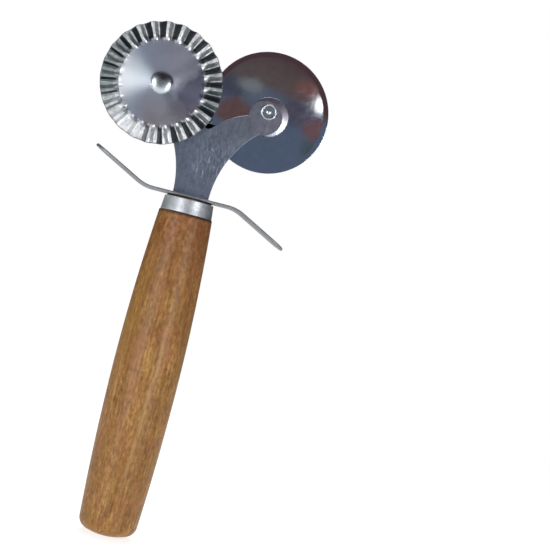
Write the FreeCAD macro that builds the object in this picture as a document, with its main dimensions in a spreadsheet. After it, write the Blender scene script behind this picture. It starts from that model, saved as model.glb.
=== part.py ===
import FreeCAD, Part
import math
import os
import Sketcher

# Double pastry cutter: a wooden handle, a slotted guard and a Y-shaped plate that
# carries a fluted wheel in front and a plain wheel behind. Lengths in mm.
# Frame: +Z up the handle's axis from the middle of the butt, +X to the plain wheel,
# -Y to the fluted wheel.

SIZES = {
    # handle: two long curves that meet at the belly, a crowned butt with a small flat,
    # and a spigot on top
    "belly_radius": 13.25, "belly_height": 63.0, "lower_curve": 930.0, "upper_curve": 800.0,
    "butt_flat": 3.0, "butt_crown": 24.0, "butt_corner": 4.5, "handle_top": 128.6,
    "spigot_radius": 8.9, "spigot_top": 134.9,
    # ferrule round the spigot
    "ferrule_low_radius": 10.25, "ferrule_high_radius": 9.75, "ferrule_top": 134.2,
    "ferrule_round": 0.35,
    # guard: a strip with one arm up and one arm down
    "guard_thick": 1.0, "guard_width": 13.0, "guard_half_flat": 18.3, "guard_reach": 40.0,
    "guard_slope": 27.0, "guard_bend": 14.0, "guard_tip": 6.0,
    # fork plate: tang, stem, two curved arms that end in round lobes
    "plate_thick": 1.5, "tang_half": 5.0, "tang_length": 62.0, "tang_corner": 2.0,
    "stem_half": 7.1, "arm_lower_curve": 41.7, "arm_upper_curve": 30.1,
    "arm_upper_x": 23.5, "arm_upper_z": 143.6, "crotch_round": 1.5,
    "lobe_radius": 7.75, "lobe_drop": 1.8, "lobe_out": 0.5,
    "lobe_bevel_depth": 0.45, "lobe_bevel_width": 1.9,
    # the two hubs
    "hub_x": 21.7, "hub_z": 175.5, "wheel_play": 0.2, "bore_play": 0.06,
    # fluted wheel
    "fluted_radius": 23.8, "fluted_thick": 0.7, "flute_start": 16.6, "flute_full": 18.7,
    "flute_half_depth": 1.2, "flute_floor_inner": 0.35, "flute_floor_outer": 0.62,
    "flute_flank": 1.5, "flute_margin": 0.5,
    # plain wheel
    "plain_radius": 24.0, "plain_thick": 0.9, "plain_bevel": 1.9,
    "plain_front_cut": 0.15, "plain_back_cut": 0.4,
    # spacers and rivets
    "fluted_spacer_length": 2.0, "plain_spacer_length": 1.0, "spacer_radius": 4.6,
    "shoulder_radius": 2.8, "shank_radius": 2.2, "head_radius": 4.3, "head_height": 1.6,
    "head_rim": 0.3, "roll_outer": 3.2, "rivet_hole": 1.5, "rivet_hole_depth": 1.4,
}
FLUTES = 24

doc = FreeCAD.newDocument("pastry_cutter")
sheet = doc.addObject("Spreadsheet::Sheet", "Sizes")
for row, (alias, number) in enumerate(SIZES.items(), start=1):
    sheet.set("A%d" % row, alias)
    sheet.set("B%d" % row, str(number))
    sheet.setAlias("B%d" % row, alias)
doc.recompute()


class Size:
    """A length that carries its number and the spreadsheet formula it comes from."""

    def __init__(self, value, text):
        self.value = value
        self.text = text

    def __add__(self, other):
        other = as_size(other)
        return Size(self.value + other.value, "(%s + %s)" % (self.text, other.text))

    def __sub__(self, other):
        other = as_size(other)
        return Size(self.value - other.value, "(%s - %s)" % (self.text, other.text))

    def __mul__(self, other):
        other = as_size(other)
        return Size(self.value * other.value, "(%s * %s)" % (self.text, other.text))

    def __truediv__(self, other):
        other = as_size(other)
        return Size(self.value / other.value, "(%s / %s)" % (self.text, other.text))

    def __neg__(self):
        return Size(-self.value, "(-%s)" % self.text)


def as_size(number):
    return number if isinstance(number, Size) else Size(float(number), str(float(number)))


def tan(angle):
    return Size(math.tan(math.radians(angle.value)), "tan(%s)" % angle.text)


def sin(angle):
    return Size(math.sin(math.radians(angle.value)), "sin(%s)" % angle.text)


def cos(angle):
    return Size(math.cos(math.radians(angle.value)), "cos(%s)" % angle.text)


class Sheet:
    """Sizes by name: S.hub_x is the spreadsheet's cell and its number."""

    def __getattr__(self, alias):
        return Size(SIZES[alias], "Sizes." + alias)


S = Sheet()
ZERO = Size(0.0, "0")


# ---------------------------------------------------------------- helpers
def new_body(label):
    body = doc.addObject("PartDesign::Body", label)
    body.Label = label
    return body


def origin_plane(body, role):
    return next(f for f in body.Origin.OriginFeatures if f.Role == role)


def new_sketch(body, name, role, offset=None):
    """A sketch on one of the body's own planes, shifted along the plane's normal."""
    sketch = body.newObject("Sketcher::SketchObject", name)
    sketch.AttachmentSupport = [(origin_plane(body, role), "")]
    sketch.MapMode = "FlatFace"
    if offset is not None:
        sketch.setExpression("AttachmentOffset.Base.z", offset.text)
    return sketch


def point(x, y):
    return FreeCAD.Vector(as_size(x).value, as_size(y).value, 0)


def line(sketch, start, end):
    return sketch.addGeometry(Part.LineSegment(point(*start), point(*end)))


def arc(sketch, centre, radius, start_degrees, end_degrees):
    full = Part.Circle(point(*centre), FreeCAD.Vector(0, 0, 1), radius.value)
    return sketch.addGeometry(Part.ArcOfCircle(
        full, math.radians(start_degrees), math.radians(end_degrees)))


def join(sketch, *ends):
    """Each entry is (curve, its end, next curve, that curve's end)."""
    for first, first_end, second, second_end in ends:
        sketch.addConstraint(Sketcher.Constraint(
            "Coincident", first, first_end, second, second_end))


def bind(sketch, name, kind, where, length):
    """A named dimension that follows the spreadsheet."""
    index = sketch.addConstraint(Sketcher.Constraint(kind, *where, length.value))
    sketch.renameConstraint(index, name)
    sketch.setExpression("Constraints." + name, length.text)


def place(sketch, name, curve, end, x, y):
    """Fix a point of a curve at x, y from the sketch's origin; None leaves one free."""
    for letter, length, axis in (("X", x, -2), ("Y", y, -1)):
        if length is None:
            continue
        if length is ZERO:
            sketch.addConstraint(Sketcher.Constraint("PointOnObject", curve, end, axis))
        elif length.value < 0:
            bind(sketch, name + letter, "Distance" + letter, (curve, end, -1, 1), -length)
        else:
            bind(sketch, name + letter, "Distance" + letter, (-1, 1, curve, end), length)


def outline(sketch, corners):
    """A closed outline of straight lines, every corner placed."""
    edges = []
    for index, corner in enumerate(corners):
        edges.append(line(sketch, corner, corners[(index + 1) % len(corners)]))
    for index, edge in enumerate(edges):
        join(sketch, (edge, 2, edges[(index + 1) % len(edges)], 1))
        place(sketch, "corner%d" % index, edge, 1, *corners[index])
    return edges


def rectangle(sketch, left, right, low, high):
    return outline(sketch, [(left, low), (right, low), (right, high), (left, high)])


def turn(body, sketch):
    """Revolve a profile about the sketch's upright axis."""
    turned = body.newObject("PartDesign::Revolution", body.Name + "_turned")
    turned.Profile = sketch
    turned.ReferenceAxis = (sketch, ["V_Axis"])
    turned.Angle = 360
    doc.recompute()
    return turned


def pad_evenly(body, sketch, length):
    """Pad a profile by the same amount to both sides of its plane."""
    pad = body.newObject("PartDesign::Pad", body.Name + "_pad")
    pad.Profile = sketch
    pad.SideType = "Symmetric"
    pad.setExpression("Length", length.text)
    doc.recompute()
    return pad


def pocket(body, sketch, length):
    """Cut a profile into the body, on whichever side of the sketch the material is."""
    before = body.Shape.Volume
    cut = body.newObject("PartDesign::Pocket", sketch.Name + "_pocket")
    cut.Profile = sketch
    cut.setExpression("Length", length.text)
    doc.recompute()
    if body.Shape.Volume > before - 0.01:
        cut.Reversed = True
        doc.recompute()
    return cut


def edges_where(shape, test):
    return ["Edge%d" % (index + 1) for index, edge in enumerate(shape.Edges) if test(edge)]


def dress(body, kind, base, edges, **sizes):
    """A fillet or chamfer on the named edges of the body's newest feature."""
    feature = body.newObject("PartDesign::" + kind, "%s_%s" % (body.Name, kind.lower()))
    feature.Base = (base, edges)
    for name, length in sizes.items():
        feature.setExpression(name, length.text)
    doc.recompute()
    return feature


def mount_on_hub(body, side):
    """Local +Z points away from the plate: side -1 is the fluted side, +1 the plain side."""
    body.Placement = FreeCAD.Placement(
        FreeCAD.Vector(0, 0, 0), FreeCAD.Rotation(FreeCAD.Vector(1, 0, 0), -90 * side))
    hub_x = S.hub_x if side > 0 else -S.hub_x
    body.setExpression("Placement.Base.x", hub_x.text)
    body.setExpression("Placement.Base.z", S.hub_z.text)


# ---------------------------------------------------------------- handle
handle = new_body("handle")
sketch = new_sketch(handle, "handle_profile", "XZ_Plane")
low_sweep = math.degrees(math.asin((S.belly_height.value - 5.6) / S.lower_curve.value))
high_sweep = math.degrees(math.asin(
    (S.handle_top - S.belly_height).value / S.upper_curve.value))
base = line(sketch, (0, 0), (S.butt_flat, 0))
crown = arc(sketch, (0, S.butt_crown - 0.19), S.butt_crown, 277, 292)
corner = arc(sketch, (7.0, 5.6), S.butt_corner, 292, 356)
lower = arc(sketch, (S.belly_radius - S.lower_curve, S.belly_height), S.lower_curve,
            -low_sweep, 0)
upper = arc(sketch, (S.belly_radius - S.upper_curve, S.belly_height), S.upper_curve,
            0, high_sweep)
shoulder = line(sketch, (S.spigot_radius + 1.6, S.handle_top), (S.spigot_radius, S.handle_top))
spigot = line(sketch, (S.spigot_radius, S.handle_top), (S.spigot_radius, S.spigot_top))
top = line(sketch, (S.spigot_radius, S.spigot_top), (0, S.spigot_top))
core = line(sketch, (0, S.spigot_top), (0, 0))
join(sketch, (base, 2, crown, 1), (lower, 2, upper, 1), (upper, 2, shoulder, 1),
     (shoulder, 2, spigot, 1), (spigot, 2, top, 1), (top, 2, core, 1), (core, 2, base, 1))
for first, second in ((crown, corner), (corner, lower)):
    sketch.addConstraint(Sketcher.Constraint("Tangent", first, 2, second, 1))
place(sketch, "middle", base, 1, ZERO, ZERO)
place(sketch, "flat", base, 2, S.butt_flat, ZERO)
sketch.addConstraint(Sketcher.Constraint("PointOnObject", crown, 3, -2))
bind(sketch, "crown_radius", "Radius", (crown,), S.butt_crown)
bind(sketch, "corner_radius", "Radius", (corner,), S.butt_corner)
place(sketch, "belly", lower, 2, S.belly_radius, S.belly_height)
sketch.addConstraint(Sketcher.Constraint("Horizontal", lower, 3, lower, 2))
sketch.addConstraint(Sketcher.Constraint("Horizontal", upper, 3, upper, 1))
bind(sketch, "lower_radius", "Radius", (lower,), S.lower_curve)
bind(sketch, "upper_radius", "Radius", (upper,), S.upper_curve)
bind(sketch, "top", "DistanceY", (-1, 1, upper, 2), S.handle_top)
place(sketch, "spigot_foot", spigot, 1, S.spigot_radius, S.handle_top)
place(sketch, "spigot_head", spigot, 2, S.spigot_radius, S.spigot_top)
place(sketch, "centre", top, 2, ZERO, S.spigot_top)
turn(handle, sketch)
sketch = new_sketch(handle, "tang_slot", "XY_Plane", S.spigot_top)
rectangle(sketch, -S.tang_half, S.tang_half, -S.plate_thick / 2, S.plate_thick / 2)
pocket(handle, sketch, S.tang_length)

# ---------------------------------------------------------------- ferrule
ferrule = new_body("ferrule")
sketch = new_sketch(ferrule, "ferrule_profile", "XZ_Plane")
outline(sketch, [(S.spigot_radius, S.handle_top), (S.ferrule_low_radius, S.handle_top),
                 (S.ferrule_high_radius, S.ferrule_top), (S.spigot_radius, S.ferrule_top)])
turned = turn(ferrule, sketch)
top_edge = edges_where(turned.Shape, lambda edge: (
    edge.BoundBox.ZMin > SIZES["ferrule_top"] - 0.01
    and edge.BoundBox.XMax > SIZES["ferrule_high_radius"] - 0.1))
dress(ferrule, "Fillet", turned, top_edge, Radius=S.ferrule_round)

# ---------------------------------------------------------------- guard
guard = new_body("guard")
sketch = new_sketch(guard, "guard_profile", "XZ_Plane")
level = S.spigot_top + S.guard_thick / 2
mitre = S.guard_thick / 2 * tan(S.guard_slope / 2)
rise = (S.guard_reach - S.guard_half_flat) * tan(S.guard_slope)
tip_x = S.guard_thick / 2 * sin(S.guard_slope)
tip_z = S.guard_thick / 2 * cos(S.guard_slope)
outline(sketch, [
    (-S.guard_reach - tip_x, level + rise - tip_z),
    (-S.guard_half_flat - mitre, level - S.guard_thick / 2),
    (S.guard_half_flat - mitre, level - S.guard_thick / 2),
    (S.guard_reach - tip_x, level - rise - tip_z),
    (S.guard_reach + tip_x, level - rise + tip_z),
    (S.guard_half_flat + mitre, level + S.guard_thick / 2),
    (-S.guard_half_flat + mitre, level + S.guard_thick / 2),
    (-S.guard_reach + tip_x, level + rise + tip_z)])
pad = pad_evenly(guard, sketch, S.guard_width)


def bend_edge(inside):
    """Edges across the strip at the two bends, on the inside or outside of each bend."""
    def test(edge):
        middle = edge.BoundBox.Center
        at_bend = abs(abs(middle.x) - SIZES["guard_half_flat"]) < 0.5
        across = edge.BoundBox.YLength > SIZES["guard_width"] - 0.1
        above = middle.z > level.value
        return at_bend and across and ((middle.x < 0) == above) == inside
    return test


pad = dress(guard, "Fillet", pad, edges_where(pad.Shape, bend_edge(True)), Radius=S.guard_bend)
outer = edges_where(pad.Shape, bend_edge(False))
pad = dress(guard, "Fillet", pad, outer, Radius=S.guard_bend + S.guard_thick)
tips = edges_where(pad.Shape, lambda edge: (
    abs(edge.BoundBox.Center.x) > SIZES["guard_reach"] - 0.1
    and edge.BoundBox.YLength < 0.01))
dress(guard, "Fillet", pad, tips, Radius=S.guard_tip)
sketch = new_sketch(guard, "guard_slot", "XY_Plane", S.spigot_top + S.guard_thick)
rectangle(sketch, -S.tang_half, S.tang_half, -S.plate_thick / 2, S.plate_thick / 2)
pocket(guard, sketch, S.guard_thick)

# ---------------------------------------------------------------- fork plate
fork = new_body("fork_plate")
sketch = new_sketch(fork, "fork_half", "XZ_Plane")
guard_top = S.spigot_top + S.guard_thick
tang_end = S.spigot_top - S.tang_length
lobe_x = S.hub_x + S.lobe_out
lobe_z = S.hub_z - S.lobe_drop
tang_foot = line(sketch, (0, tang_end), (S.tang_half - S.tang_corner, tang_end))
tang_bevel = line(sketch, (S.tang_half - S.tang_corner, tang_end),
                  (S.tang_half, tang_end + S.tang_corner))
tang_side = line(sketch, (S.tang_half, tang_end + S.tang_corner), (S.tang_half, guard_top))
ledge = line(sketch, (S.tang_half, guard_top), (S.stem_half, guard_top))
lower = arc(sketch, (S.stem_half + S.arm_lower_curve, guard_top), S.arm_lower_curve, 133, 180)
lobe = arc(sketch, (lobe_x, lobe_z), S.lobe_radius, -105, 175)
upper = arc(sketch, (S.arm_upper_x, S.arm_upper_z), S.arm_upper_curve, 107, 141)
seam = line(sketch, (0, S.arm_upper_z + 19), (0, tang_end))
join(sketch, (tang_foot, 2, tang_bevel, 1), (tang_bevel, 2, tang_side, 1),
     (tang_side, 2, ledge, 1), (ledge, 2, lower, 2), (lower, 1, lobe, 1), (lobe, 2, upper, 1),
     (upper, 2, seam, 1), (seam, 2, tang_foot, 1))
place(sketch, "foot", tang_foot, 1, ZERO, tang_end)
place(sketch, "bevel_in", tang_foot, 2, S.tang_half - S.tang_corner, tang_end)
place(sketch, "bevel_out", tang_bevel, 2, S.tang_half, tang_end + S.tang_corner)
place(sketch, "ledge_in", tang_side, 2, S.tang_half, guard_top)
place(sketch, "ledge_out", ledge, 2, S.stem_half, guard_top)
place(sketch, "lower", lower, 3, S.stem_half + S.arm_lower_curve, guard_top)
place(sketch, "lobe", lobe, 3, lobe_x, lobe_z)
bind(sketch, "lobe_size", "Radius", (lobe,), S.lobe_radius)
place(sketch, "upper", upper, 3, S.arm_upper_x, S.arm_upper_z)
bind(sketch, "upper_size", "Radius", (upper,), S.arm_upper_curve)
sketch.addConstraint(Sketcher.Constraint("PointOnObject", seam, 1, -2))
rivet_hole = sketch.addGeometry(Part.Circle(
    point(S.hub_x, S.hub_z), FreeCAD.Vector(0, 0, 1), SIZES["shank_radius"]))
place(sketch, "hub", rivet_hole, 3, S.hub_x, S.hub_z)
bind(sketch, "hub_size", "Radius", (rivet_hole,), S.shank_radius)
pad = pad_evenly(fork, sketch, S.plate_thick)
mirrored = fork.newObject("PartDesign::Mirrored", "other_arm")
mirrored.Originals = [pad]
mirrored.MirrorPlane = (origin_plane(fork, "YZ_Plane"), [""])
fork.Tip = mirrored
doc.recompute()
crotch = edges_where(mirrored.Shape, lambda edge: (
    abs(edge.BoundBox.Center.x) < 0.01 and edge.BoundBox.YLength > 1
    and edge.BoundBox.ZLength < 0.01 and edge.BoundBox.ZMin > SIZES["arm_upper_z"]))
rounded = dress(fork, "Fillet", mirrored, crotch, Radius=S.crotch_round)


def lobe_rim(side):
    """The edge of the lobe at side -1 or +1, on the face away from that lobe's wheel."""
    def test(edge):
        middle = edge.BoundBox.Center
        return (edge.Curve.TypeId == "Part::GeomCircle"
                and abs(edge.Curve.Radius - SIZES["lobe_radius"]) < 0.01
                and middle.x * side > 0 and middle.y * side < 0)
    return test


plate = rounded
for side in (1, -1):
    plate = dress(fork, "Chamfer", plate, edges_where(plate.Shape, lobe_rim(side)))
    plate.ChamferType = "Two distances"
    plate.FlipDirection = side > 0
    plate.setExpression("Size", S.lobe_bevel_depth.text)
    plate.setExpression("Size2", S.lobe_bevel_width.text)
    doc.recompute()

# ---------------------------------------------------------------- fluted wheel
# A blank with a thick ring, then tapering channels cut from both faces in turn.
fluted = new_body("fluted_wheel")
bore = S.shoulder_radius + S.bore_play
half_sheet = S.fluted_thick / 2
crest = S.flute_half_depth + half_sheet
sketch = new_sketch(fluted, "fluted_profile", "XZ_Plane")
outline(sketch, [
    (bore, -half_sheet), (S.flute_start, -half_sheet), (S.flute_full, -crest),
    (S.fluted_radius, -crest), (S.fluted_radius, crest), (S.flute_full, crest),
    (S.flute_start, half_sheet), (bore, half_sheet)])
turn(fluted, sketch)


def channel(face):
    """A channel cut from face +1 or -1, as a loft of three upright sections.

    Those of face -1 start half a pitch round, so the two sets alternate.
    """
    turned_by = Size(0.0, "0") if face > 0 else Size(180.0 / FLUTES, str(180.0 / FLUTES))
    floor_level = half_sheet - S.flute_half_depth
    mouth = crest + S.flute_margin
    sections = []
    for name, radius, floor, half_floor in (
            ("inner", S.flute_start, half_sheet, S.flute_floor_inner / 2),
            ("full", S.flute_full, floor_level, S.flute_floor_inner),
            ("rim", S.fluted_radius + S.flute_margin, floor_level, S.flute_floor_outer)):
        section = new_sketch(fluted, "channel_%s_%d" % (name, face + 1), "YZ_Plane")
        section.AttachmentOffset = FreeCAD.Placement(
            FreeCAD.Vector(0, 0, 0), FreeCAD.Rotation(FreeCAD.Vector(0, 1, 0), turned_by.value))
        section.setExpression("AttachmentOffset.Base.x", (radius * sin(turned_by)).text)
        section.setExpression("AttachmentOffset.Base.z", (radius * cos(turned_by)).text)
        half_mouth = half_floor + S.flute_flank * (mouth - floor) / (crest - floor_level)
        outline(section, [(-half_floor, floor * face), (half_floor, floor * face),
                          (half_mouth, mouth * face), (-half_mouth, mouth * face)])
        sections.append(section)
    doc.recompute()
    cut = fluted.newObject("PartDesign::SubtractiveLoft", "channel_%d" % (face + 1))
    cut.Profile = sections[0]
    cut.Sections = sections[1:]
    cut.Ruled = True
    doc.recompute()
    return cut


def repeat_round(feature, name):
    pattern = fluted.newObject("PartDesign::PolarPattern", name)
    pattern.Originals = [feature]
    pattern.Axis = (origin_plane(fluted, "Z_Axis"), [""])
    pattern.Angle = 360
    fluted.Tip = pattern
    pattern.Occurrences = FLUTES
    doc.recompute()


repeat_round(channel(1), "front_channels")
repeat_round(channel(-1), "back_channels")
mount_on_hub(fluted, -1)
fluted.setExpression("Placement.Base.y", (-(
    S.plate_thick / 2 + S.fluted_spacer_length + S.wheel_play + half_sheet)).text)

# ---------------------------------------------------------------- plain wheel
plain = new_body("plain_wheel")
sketch = new_sketch(plain, "plain_profile", "XZ_Plane")
half_plain = S.plain_thick / 2
flat_radius = S.plain_radius - S.plain_bevel
outline(sketch, [
    (bore, -half_plain), (flat_radius, -half_plain),
    (S.plain_radius, S.plain_front_cut - half_plain),
    (S.plain_radius, half_plain - S.plain_back_cut), (flat_radius, half_plain),
    (bore, half_plain)])
turn(plain, sketch)
mount_on_hub(plain, 1)
plain.setExpression("Placement.Base.y", (
    S.plate_thick / 2 + S.plain_spacer_length + S.wheel_play + half_plain).text)


# ---------------------------------------------------------------- spacers and rivets
def add_spacer(label, side, length):
    """A collar from the plate's face outwards, along local +Z."""
    spacer = new_body(label)
    profile = new_sketch(spacer, label + "_profile", "XZ_Plane")
    rectangle(profile, S.shank_radius, S.spacer_radius, S.plate_thick / 2,
              S.plate_thick / 2 + length)
    turn(spacer, profile)
    mount_on_hub(spacer, side)


def add_rivet(label, side, spacer_length, wheel_thick):
    """Domed head and shoulder outside, shank through spacer and plate, hollow rolled end."""
    rivet = new_body(label)
    profile = new_sketch(rivet, label + "_profile", "XZ_Plane")
    plate_back = -S.plate_thick / 2
    ledge_z = S.plate_thick / 2 + spacer_length
    neck_z = ledge_z + wheel_thick + S.wheel_play * 2
    rim_z = neck_z + S.head_rim
    crown_z = neck_z + S.head_height
    dome_height = S.head_height - S.head_rim
    dome = (S.head_radius * S.head_radius / dome_height + dome_height) / 2
    dome_sweep = math.degrees(math.asin(S.head_radius.value / dome.value))
    roll = (S.roll_outer - S.rivet_hole) / 2
    hole_end = plate_back + S.rivet_hole_depth
    cap = arc(profile, (0, crown_z - dome), dome, 90 - dome_sweep, 90)
    rim = line(profile, (S.head_radius, rim_z), (S.head_radius, neck_z))
    under = line(profile, (S.head_radius, neck_z), (S.shoulder_radius, neck_z))
    neck = line(profile, (S.shoulder_radius, neck_z), (S.shoulder_radius, ledge_z))
    ledge = line(profile, (S.shoulder_radius, ledge_z), (S.shank_radius, ledge_z))
    shank = line(profile, (S.shank_radius, ledge_z), (S.shank_radius, plate_back))
    seat = line(profile, (S.shank_radius, plate_back), (S.roll_outer, plate_back))
    rolled = arc(profile, (S.rivet_hole + roll, plate_back), roll, 180, 360)
    wall = line(profile, (S.rivet_hole, plate_back), (S.rivet_hole, hole_end))
    floor = line(profile, (S.rivet_hole, hole_end), (0, hole_end))
    core = line(profile, (0, hole_end), (0, crown_z))
    join(profile, (cap, 1, rim, 1), (rim, 2, under, 1), (under, 2, neck, 1),
         (neck, 2, ledge, 1), (ledge, 2, shank, 1), (shank, 2, seat, 1), (seat, 2, rolled, 2),
         (rolled, 1, wall, 1), (wall, 2, floor, 1), (floor, 2, core, 1), (core, 2, cap, 2))
    place(profile, "rim", rim, 1, S.head_radius, rim_z)
    place(profile, "under", under, 1, S.head_radius, neck_z)
    place(profile, "neck", neck, 1, S.shoulder_radius, neck_z)
    place(profile, "ledge", ledge, 1, S.shoulder_radius, ledge_z)
    place(profile, "shank", shank, 1, S.shank_radius, ledge_z)
    place(profile, "seat", seat, 1, S.shank_radius, plate_back)
    place(profile, "wall", wall, 1, S.rivet_hole, plate_back)
    place(profile, "floor", floor, 1, S.rivet_hole, hole_end)
    place(profile, "core", core, 1, ZERO, hole_end)
    place(profile, "crown", core, 2, ZERO, crown_z)
    profile.addConstraint(Sketcher.Constraint("PointOnObject", cap, 3, -2))
    place(profile, "roll_end", seat, 2, S.roll_outer, plate_back)
    place(profile, "rolled", rolled, 3, None, plate_back)
    turn(rivet, profile)
    mount_on_hub(rivet, side)


add_spacer("fluted_wheel_spacer", -1, S.fluted_spacer_length)
add_spacer("plain_wheel_spacer", 1, S.plain_spacer_length)
add_rivet("fluted_wheel_rivet", -1, S.fluted_spacer_length, S.fluted_thick)
add_rivet("plain_wheel_rivet", 1, S.plain_spacer_length, S.plain_thick)

# ---------------------------------------------------------------- check and write
doc.recompute()
os.makedirs("parts", exist_ok=True)
faults = [item.Name for item in doc.Objects if {"Invalid", "Error"} & set(item.State)]
if faults:
    raise SystemExit("features with errors: %s" % faults)
for body in [item for item in doc.Objects if item.TypeId == "PartDesign::Body"]:
    if body.Shape.isNull() or not body.Shape.isValid() or len(body.Shape.Solids) != 1:
        raise SystemExit("bad shape: %s" % body.Label)
    body.Shape.exportStep("parts/%s.step" % body.Label)
    box = body.Shape.BoundBox
    print("%-20s x %7.2f %7.2f  y %6.2f %6.2f  z %7.2f %7.2f  volume %9.1f" % (
        body.Label, box.XMin, box.XMax, box.YMin, box.YMax, box.ZMin, box.ZMax,
        body.Shape.Volume))
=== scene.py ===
import math

import bmesh
import bpy
from mathutils import Matrix, Vector, noise


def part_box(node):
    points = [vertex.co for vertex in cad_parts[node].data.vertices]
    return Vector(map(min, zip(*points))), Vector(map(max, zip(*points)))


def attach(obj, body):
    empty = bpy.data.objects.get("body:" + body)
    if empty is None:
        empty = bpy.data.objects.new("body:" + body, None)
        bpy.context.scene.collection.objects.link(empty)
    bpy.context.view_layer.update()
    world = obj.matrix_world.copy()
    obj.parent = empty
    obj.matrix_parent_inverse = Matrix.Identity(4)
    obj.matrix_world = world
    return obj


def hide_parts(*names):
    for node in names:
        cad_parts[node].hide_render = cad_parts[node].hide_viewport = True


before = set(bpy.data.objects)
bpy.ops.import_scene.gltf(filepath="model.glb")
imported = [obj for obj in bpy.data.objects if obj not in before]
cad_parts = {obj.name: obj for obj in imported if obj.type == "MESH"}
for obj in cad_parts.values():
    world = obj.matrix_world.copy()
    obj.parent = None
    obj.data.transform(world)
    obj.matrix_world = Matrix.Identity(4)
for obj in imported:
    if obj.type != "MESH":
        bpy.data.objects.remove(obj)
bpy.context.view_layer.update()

# Double pastry cutter. +Z runs up the handle from the middle of its butt, +X is the plain
# wheel's side and -Y the front. Shapes are drawn in millimetres and materials read metres.
MM = 0.001


# ---------------------------------------------------------------- sizes in millimetres
def box_mm(node):
    """Lowest and highest corners of a CAD node."""
    low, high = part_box(node)
    return low / MM, high / MM


def middle_mm(node):
    low, high = box_mm(node)
    return (low + high) / 2


# read from the frame
FLUTED_LOW, FLUTED_HIGH = box_mm("fluted_wheel")
FLUTED_HUB = middle_mm("fluted_wheel")
PLAIN_LOW, PLAIN_HIGH = box_mm("plain_wheel")
PLAIN_HUB = middle_mm("plain_wheel")
PLATE_LOW, PLATE_HIGH = box_mm("fork_plate")
FERRULE_LOW, FERRULE_HIGH = box_mm("ferrule")
BELLY_RADIUS = box_mm("handle")[1].x

# handle
BELLY_HEIGHT = 63.0
LOWER_CURVE, UPPER_CURVE = 930.0, 800.0
BUTT_CROWN, BUTT_FLAT, BUTT_CORNER = 24.0, 3.0, 4.5
SPIGOT_RADIUS = 8.9
SPIGOT_TOP = FERRULE_HIGH.z + 0.7

# guard, which lies on the spigot
GUARD_THICK, GUARD_HALF_WIDTH, GUARD_TIP = 1.0, 6.5, 6.0
GUARD_HALF_FLAT, GUARD_REACH = 18.3, 40.0
GUARD_BEND, GUARD_SLOPE = 14.5, math.radians(27.0)
GUARD_TOP = SPIGOT_TOP + GUARD_THICK

# fork plate
STEM_HALF, TANG_HALF, TANG_CORNER = 7.1, 5.0, 2.0
ARM_LOWER_CURVE, ARM_UPPER_CURVE, CROTCH_ROUND = 41.7, 30.1, 1.5
ARM_UPPER_CENTRE = Vector((23.5, 143.6))
LOBE = Vector((PLAIN_HUB.x + 0.5, PLAIN_HUB.z - 1.8))
LOBE_RADIUS, BEVEL_WIDTH, BEVEL_DEPTH = 7.75, 2.4, 0.46

# wheels
WHEEL_BORE = 2.86
FLUTES = 24
FLUTE_START, FLUTE_FULL, FLUTE_DEPTH, FLUTE_FLANK = 16.6, 18.7, 1.2, 1.5
FLUTED_HALF_THICK, FLUTED_ROUND = 0.34, 0.12
PLAIN_BEVEL = 1.9

# rivets
SHOULDER_RADIUS, SHANK_RADIUS = 2.8, 2.2
HEAD_RADIUS, HEAD_RIM, HEAD_DOME = 4.3, 0.3, 1.3
ROLL_MIDDLE, ROLL_HALF, ROLL_OUTER = 2.72, 0.48, 3.2
BALL_RADIUS = 1.25


# ---------------------------------------------------------------- mesh helpers
def finish_mesh(bm, name, material, body, sharp, replaces, at=(0, 0, 0)):
    """Turn a bmesh in millimetres into a finished piece with its origin at a given point."""
    origin = Vector(at)
    bmesh.ops.translate(bm, verts=bm.verts, vec=-origin)
    bmesh.ops.scale(bm, verts=bm.verts, vec=(MM, MM, MM))
    bmesh.ops.recalc_face_normals(bm, faces=bm.faces)
    mesh = bpy.data.meshes.new(name)
    bm.to_mesh(mesh)
    bm.free()
    for polygon in mesh.polygons:
        polygon.use_smooth = True
    mesh.set_sharp_from_angle(angle=math.radians(sharp))
    mesh.materials.append(material)
    piece = bpy.data.objects.new(name, mesh)
    bpy.context.scene.collection.objects.link(piece)
    piece.location = origin * MM
    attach(piece, body)
    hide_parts(*replaces)
    return piece


def bridge(bm, rings):
    """Faces between neighbouring rings that have the same number of vertices."""
    for first, second in zip(rings, rings[1:]):
        count = len(first)
        for step in range(count):
            after = (step + 1) % count
            bm.faces.new((first[step], second[step], second[after], first[after]))


def rounded(points, radius, steps=6):
    """A profile with each inner corner replaced by a short arc.

    A point is (radius, height), or (radius, height, its own corner radius).
    """
    result = []
    last = len(points) - 1
    for index, corner in enumerate(points):
        here = Vector(corner[:2])
        size = corner[2] if len(corner) > 2 else radius
        if index in (0, last) or size <= 0:
            result.append(here)
            continue
        before = Vector(points[index - 1][:2]) - here
        after = Vector(points[index + 1][:2]) - here
        # neighbouring arcs never meet
        longest = 0.48 * min(before.length, after.length)
        cut = min(size / math.tan(before.angle(after) / 2), longest)
        start = here + before.normalized() * cut
        end = here + after.normalized() * cut
        for step in range(steps + 1):
            t = step / steps
            result.append(start.lerp(here, t).lerp(here.lerp(end, t), t))
    return result


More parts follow.
